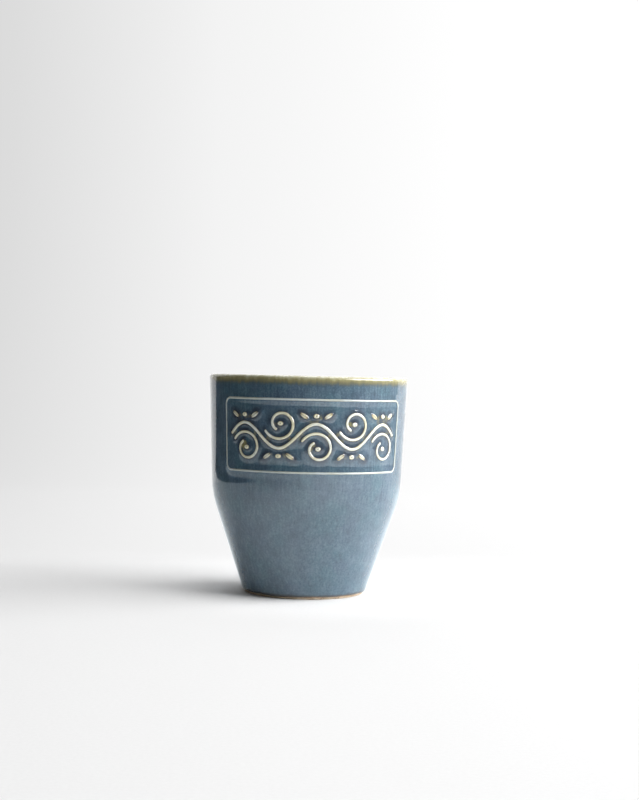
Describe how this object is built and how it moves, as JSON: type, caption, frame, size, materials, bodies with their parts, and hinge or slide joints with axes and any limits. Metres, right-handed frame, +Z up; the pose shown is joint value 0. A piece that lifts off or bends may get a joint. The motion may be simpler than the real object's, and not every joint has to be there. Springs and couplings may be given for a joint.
{
  "type": "handleless mug",
  "caption": "Handleless stoneware mug with a tapering lower wall, slate-blue glaze, amber lip, bare clay foot and a framed, raised vine scroll on its front.",
  "frame": {"origin": "middle of the foot ring, on the surface that the mug stands on", "axes": "+Z up the mug's axis to the lip; -Y out through the middle of the relief panel; +X to the right as the panel is faced"},
  "size_m": [0.0778, 0.0781, 0.085],
  "materials": {
    "bare_clay": "matte",
    "slate_glaze": "gloss",
    "amber_glaze": "gloss",
    "cream_slip": "gloss"
  },
  "bodies": {
    "root": {"clay_body": "bare_clay", "outer_glaze": "slate_glaze", "panel_glaze": "slate_glaze", "inner_glaze": "slate_glaze", "lip_glaze": "amber_glaze", "base_glaze": "slate_glaze", "panel_frame": "cream_slip", "vine": "cream_slip", "tendril_1": "cream_slip", "tendril_2": "cream_slip", "tendril_3": "cream_slip", "tendril_4": "cream_slip", "tendril_5": "cream_slip", "tendril_berry_1": "cream_slip", "tendril_berry_2": "cream_slip", "tendril_berry_3": "cream_slip", "tendril_berry_4": "cream_slip", "tendril_berry_5": "cream_slip", "crest_berry_1": "cream_slip", "crest_berry_2": "cream_slip", "crest_berry_3": "cream_slip", "crest_berry_4": "cream_slip", "crest_berry_5": "cream_slip", "left_leaflet_1": "cream_slip", "left_leaflet_2": "cream_slip", "left_leaflet_3": "cream_slip", "left_leaflet_4": "cream_slip", "left_leaflet_5": "cream_slip", "right_leaflet_1": "cream_slip", "right_leaflet_2": "cream_slip", "right_leaflet_3": "cream_slip", "right_leaflet_4": "cream_slip", "right_leaflet_5": "cream_slip"}
  },
  "joints": []
}
